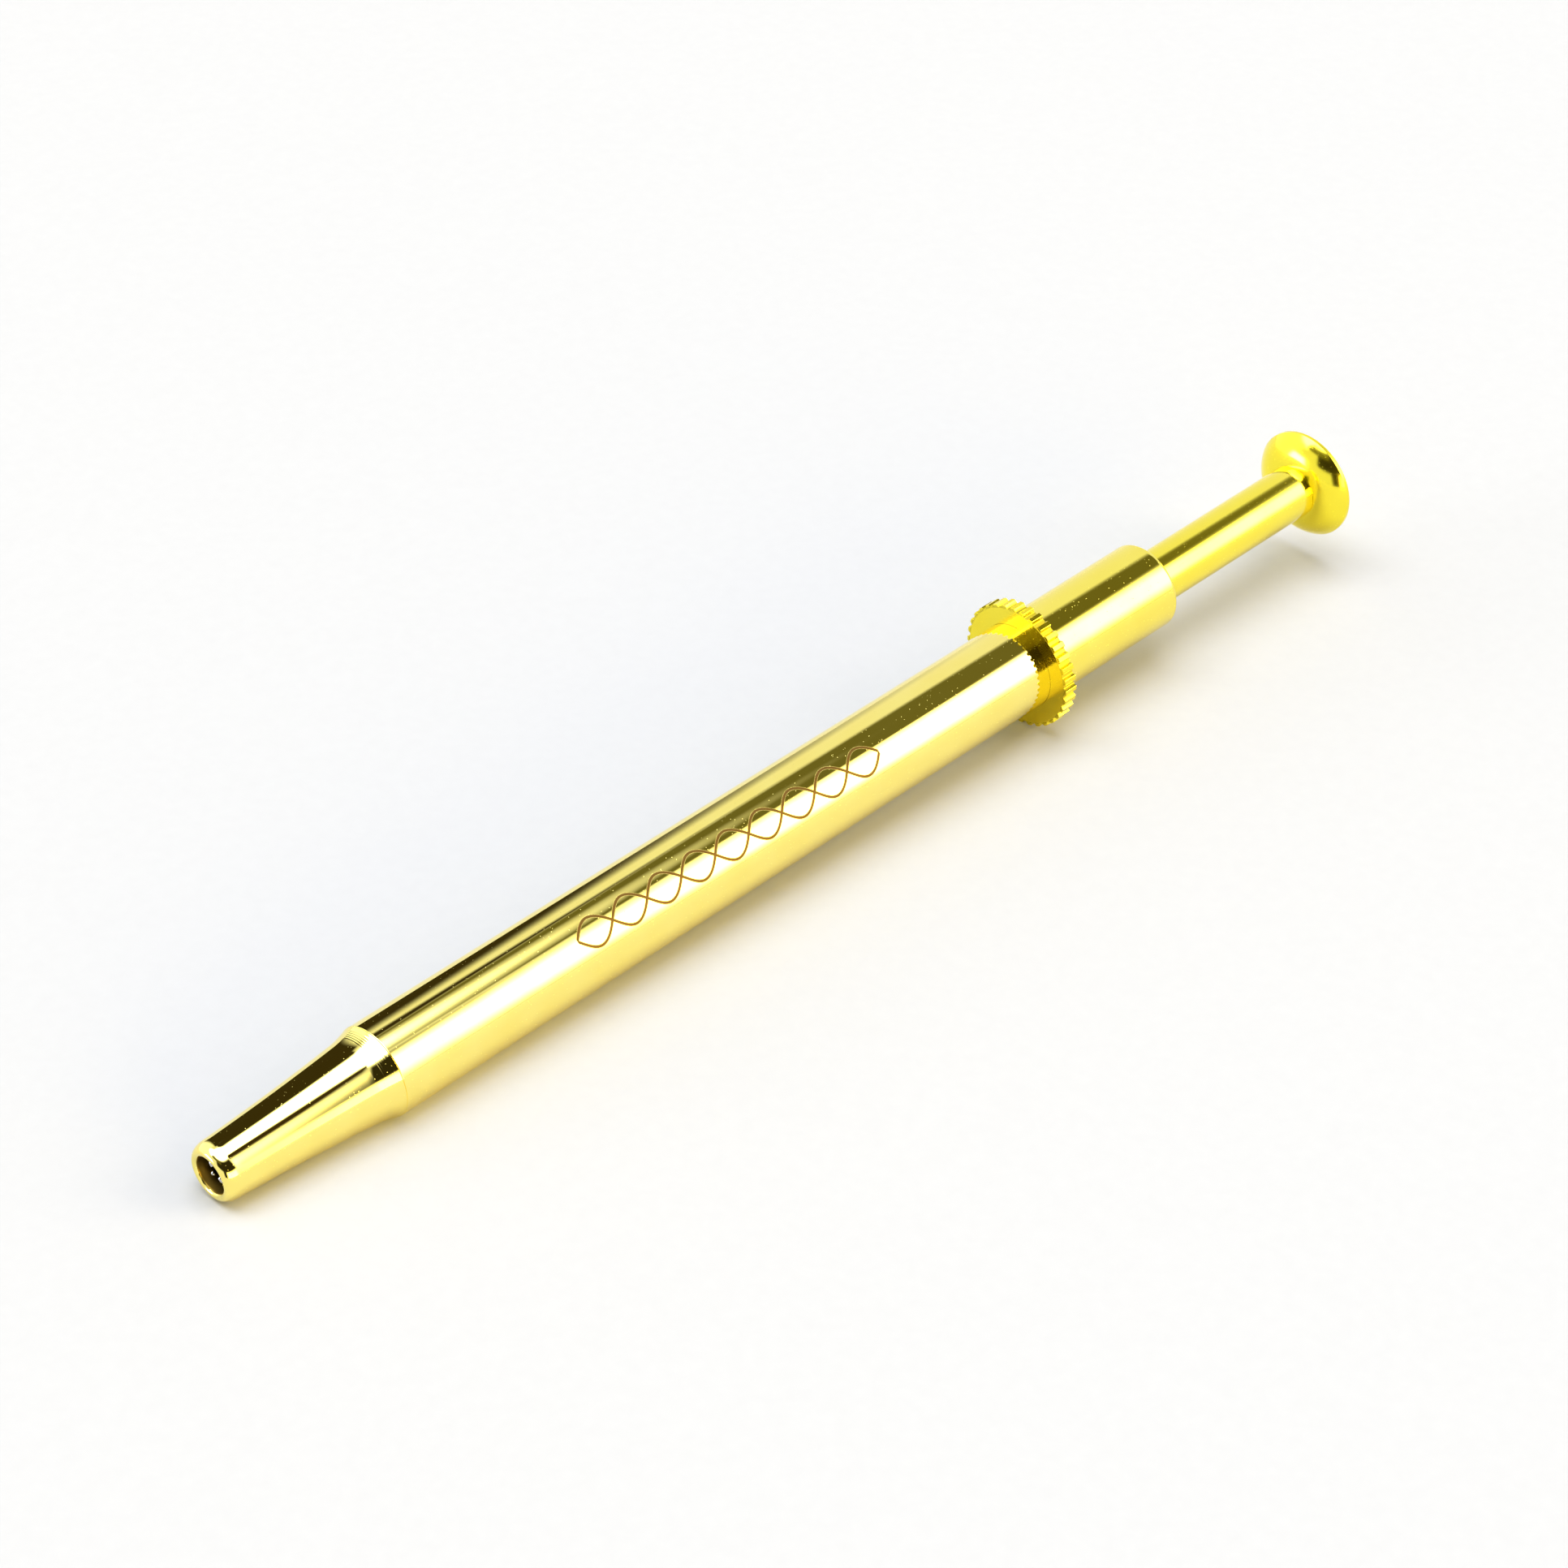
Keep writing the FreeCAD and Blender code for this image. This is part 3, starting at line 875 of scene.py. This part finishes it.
ferrule_front, ferrule_rear = (corner.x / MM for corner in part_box("claw_ferrule"))
root_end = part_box("claw_root_1")[1].x / MM
ferrule = turned(
    "ferrule",
    eased(
        [
            (ferrule_front, FERRULE_SEAT_R),
            (ferrule_front, FERRULE_R),
            (ferrule_rear, FERRULE_R),
            (ferrule_rear, ROD_SEAT_R),
            (root_end, ROD_SEAT_R),
            (root_end, FERRULE_SEAT_R),
        ],
        {1: 0.15, 2: 0.15},
        steps=4,
    ),
    facets=96,
)
ferrule.data.materials.append(turned_brass)
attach(ferrule, "plunger")
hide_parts("claw_ferrule")


# ==== Claws ====================================================================================
# Four lengths of springy steel wire, crimped side by side in the ferrule. Each bows outward and
# ends in a tiny hook with a rounded tip. In the tool a wire flexes where it leaves the ferrule;
# here that stretch is cut into short steps, and the wires stay at rest.

WIRE_R = 0.2
TIP_INSET = 0.55
HOOK_BEND = 0.42
HOOK_TIP_R = 0.4243
FLEX_LENGTH = 1.2

hinges = [joint for joint in frame["joints"] if joint["name"].endswith("_spread")]
bunch_r = math.hypot(*hinges[0]["pos_m"][1:]) / MM
open_rate = frame["record"]["behaviour"]["couplings"][0]["ratio"] * MM
bow_r = 1 / (2 * open_rate)
claw_steel = wire_steel("claw_steel", (0.55, 0.56, 0.58, 1), (0.36, 0.36, 0.38, 1), shine=0.14)


def claw_wire():
    """One wire in the XZ plane: drawn out straight, bent round the bow, then round the hook."""
    bow_start = ferrule_front / 2
    hook_x = TIP_INSET + WIRE_R + HOOK_BEND
    bow_angle = math.asin((bow_start - hook_x) / (bow_r + HOOK_BEND))
    bow_end_r = bunch_r + bow_r * (1 - math.cos(bow_angle))
    hook_r = bow_end_r - HOOK_BEND * math.cos(bow_angle)
    mesh = bmesh.new()
    bmesh.ops.create_circle(mesh, cap_ends=True, radius=WIRE_R * MM, segments=24)
    bmesh.ops.rotate(mesh, verts=mesh.verts, matrix=Matrix.Rotation(math.pi / 2, 3, "Y"))
    bmesh.ops.translate(mesh, verts=mesh.verts, vec=(root_end * MM, 0, bunch_r * MM))
    end = mesh.faces[:]

    def push(end, x, z):
        grown = bmesh.ops.extrude_face_region(mesh, geom=end)["geom"]
        verts = [item for item in grown if isinstance(item, bmesh.types.BMVert)]
        bmesh.ops.translate(mesh, verts=verts, vec=(x * MM, 0, z * MM))
        return [item for item in grown if isinstance(item, bmesh.types.BMFace)]

    def bend(end, centre, angle, steps):
        turn = bmesh.ops.spin(
            mesh,
            geom=end,
            cent=(centre[0] * MM, 0, centre[1] * MM),
            axis=(0, 1, 0),
            dvec=(0, 0, 0),
            angle=angle,
            steps=steps,
        )
        return [item for item in turn["geom_last"] if isinstance(item, bmesh.types.BMFace)]

    flex_steps = 16
    end = push(end, ferrule_front + FLEX_LENGTH / 2 - root_end, 0)
    for _ in range(flex_steps):
        end = push(end, -FLEX_LENGTH / flex_steps, 0)
    end = push(end, bow_start - (ferrule_front - FLEX_LENGTH / 2), 0)
    end = bend(end, (bow_start, bunch_r + bow_r), bow_angle, 20)
    end = bend(end, (hook_x, hook_r), -(bow_angle + math.pi / 2), 14)
    end = push(end, 0, HOOK_TIP_R - hook_r)
    bmesh.ops.bevel(
        mesh,
        geom=[edge for face in end for edge in face.edges],
        offset=WIRE_R * 0.6 * MM,
        offset_type="OFFSET",
        segments=4,
        profile=0.5,
        affect="EDGES",
        material=-1,
    )
    bmesh.ops.recalc_face_normals(mesh, faces=mesh.faces)
    return mesh


for number, hinge in enumerate(hinges, start=1):
    wire_mesh = claw_wire()
    _, y, z = hinge["pos_m"]
    turn = Matrix.Rotation(math.atan2(-y, z), 3, "X")
    bmesh.ops.rotate(wire_mesh, verts=wire_mesh.verts, matrix=turn)
    wire = finished(f"wire_{number}", wire_mesh, sharp=50)
    wire.data.materials.append(claw_steel)
    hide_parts(f"claw_{number}", f"claw_root_{number}")
    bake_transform(wire)


# ==== Table, light and camera ==================================================================
# The tool lies on a matt white table, on its lip and on the edge of the finger ring. White light
# comes from all round, with a window on one side, and dark gaps between the lit surfaces.

LIP_TOUCH = (0.6, -LIP_R)
RING_TOUCH = ((ring_face + ring_rear) / 2, -RING_TIP_R)
TABLE_SIZE = 1.6
TABLE_PALE = (0.327, 0.332, 0.351, 1)
TABLE_SHADE = (0.312, 0.317, 0.334, 1)
SKY_WHITE = (0.95, 0.96, 0.97, 1)
BACKDROP_WHITE = (0.9, 0.9, 0.91, 1)

fall = math.atan2(LIP_TOUCH[1] - RING_TOUCH[1], RING_TOUCH[0] - LIP_TOUCH[0])
table_mesh = bmesh.new()
bmesh.ops.create_grid(table_mesh, x_segments=1, y_segments=1, size=TABLE_SIZE)
bmesh.ops.rotate(table_mesh, verts=table_mesh.verts, matrix=Matrix.Rotation(fall, 3, "Y"))
bmesh.ops.translate(
    table_mesh, verts=table_mesh.verts, vec=(LIP_TOUCH[0] * MM, 0, LIP_TOUCH[1] * MM)
)
table = finished("table", table_mesh)
table_white = bpy.data.materials.new("table_white")
table_white.use_nodes = True
paper = table_white.node_tree
fibres = node(
    paper,
    "ShaderNodeTexNoise",
    {"Vector": node(paper, "ShaderNodeTexCoord").outputs["Object"], "Scale": 900.0, "Detail": 3.0},
)
paper_colour = blend_colour(paper, fibres.outputs[0], TABLE_SHADE, TABLE_PALE)
paper.links.new(paper_colour, paper.nodes["Principled BSDF"].inputs["Base Color"])
paper.nodes["Principled BSDF"].inputs["Roughness"].default_value = 0.9
paper.nodes["Principled BSDF"].inputs["Specular IOR Level"].default_value = 0.1
table.data.materials.append(table_white)


def card_group():
    """How much of a card is seen in a direction: 1 on it and 0 off it, with soft edges. Degrees."""
    tree, given, out = new_group(
        "card",
        {"Azimuth": 0.0, "Elevation": 0.0, "Half width": 10.0, "Half height": 10.0, "Soft": 3.0},
        ["Mask"],
    )
    way = node(tree, "ShaderNodeTexCoord").outputs["Generated"]
    turn = maths(tree, "RADIANS", maths(tree, "MULTIPLY", given.outputs["Azimuth"], -1.0))
    turned_way = node(
        tree, "ShaderNodeVectorRotate", {"Vector": way, "Angle": turn}, rotation_type="Z_AXIS"
    )
    parts = node(tree, "ShaderNodeSeparateXYZ", {0: turned_way.outputs[0]})
    azimuth = maths(tree, "DEGREES", maths(tree, "ARCTAN2", parts.outputs["Y"], parts.outputs["X"]))
    elevation = maths(tree, "DEGREES", maths(tree, "ARCSINE", parts.outputs["Z"]))
    elevation = maths(tree, "SUBTRACT", elevation, given.outputs["Elevation"])
    masks = []
    for offset, half in ((azimuth, "Half width"), (elevation, "Half height")):
        inside = maths(tree, "SUBTRACT", given.outputs[half], maths(tree, "ABSOLUTE", offset))
        share = maths(tree, "DIVIDE", inside, given.outputs["Soft"])
        masks.append(
            node(
                tree,
                "ShaderNodeMapRange",
                {"Value": share, "From Min": -1.0, "From Max": 1.0},
                interpolation_type="SMOOTHSTEP",
            ).outputs[0]
        )
    tree.links.new(maths(tree, "MULTIPLY", *masks), out.inputs["Mask"])
    return tree


# Each card's azimuth (from +X towards +Y), elevation, half width, half height and soft edge, all in
# degrees, and its colour. The bright ones light the tool, and the dark ones are gaps between them.
CARDS = [
    (0, 90, 180, 25, 5, (8.2, 8.4, 8.7)),
    (125, 58, 28, 12, 6, (9.8, 10.0, 10.3)),
    (-47, 27, 17, 18, 11, (11.0, 9.5, 6.4)),
    (-96, 8, 22, 11, 6, (16.0, 12.5, 3.5)),
    (112, 22, 34, 26, 6, (1.4, 1.5, 1.6)),
    (150, 9, 11, 9, 5, (18.0, 18.0, 18.0)),
    (4, 53, 36, 6, 3, (0.15, 0.14, 0.05)),
    (52, 54, 12, 8, 3, (0.04, 0.03, 0.01)),
    (66, 26, 9, 30, 4, (0.04, 0.03, 0.01)),
    (-50, 61, 12, 7, 4, (0.045, 0.028, 0.008)),
    (-123, 41, 51, 19, 4, (0.03, 0.025, 0.01)),
    (-130, 12, 10, 14, 5, (0.03, 0.025, 0.01)),
    (184, 53, 36, 6, 3, (0.15, 0.14, 0.05)),
]

world = bpy.data.worlds.new("studio")
world.use_nodes = True
bpy.context.scene.world = world
sky = world.node_tree
card = card_group()
light = SKY_WHITE
for azimuth, elevation, half_width, half_height, soft, colour in CARDS:
    seen = sky.nodes.new("ShaderNodeGroup")
    seen.node_tree = card
    seen.inputs["Azimuth"].default_value = azimuth
    seen.inputs["Elevation"].default_value = elevation
    seen.inputs["Half width"].default_value = half_width
    seen.inputs["Half height"].default_value = half_height
    seen.inputs["Soft"].default_value = soft
    light = blend_colour(sky, seen.outputs["Mask"], light, (*colour, 1))
backdrop = node(sky, "ShaderNodeLightPath").outputs["Is Camera Ray"]
light = blend_colour(sky, backdrop, light, BACKDROP_WHITE)
sky.links.new(light, sky.nodes["Background"].inputs["Color"])

AIM = Vector((0.0583, 0.0018, 0.0008))
DISTANCE = 0.340
AZIMUTH = math.radians(-43.15)
ELEVATION = math.radians(38.41)
ROLL = math.radians(-1.9)

ahead = Vector(
    (
        -math.sin(AZIMUTH) * math.cos(ELEVATION),
        math.cos(AZIMUTH) * math.cos(ELEVATION),
        -math.sin(ELEVATION),
    )
)
lens = bpy.data.cameras.new("camera")
lens.lens = 100.8
lens.sensor_width = 36
lens.clip_start = 0.01
lens.clip_end = 10
camera = bpy.data.objects.new("camera", lens)
bpy.context.scene.collection.objects.link(camera)
camera.rotation_mode = "QUATERNION"
camera.rotation_quaternion = ahead.to_track_quat("-Z", "Y") @ Quaternion((0, 0, 1), ROLL)
camera.location = AIM - ahead * DISTANCE
bpy.context.scene.camera = camera
bpy.context.scene.view_settings.view_transform = "Standard"
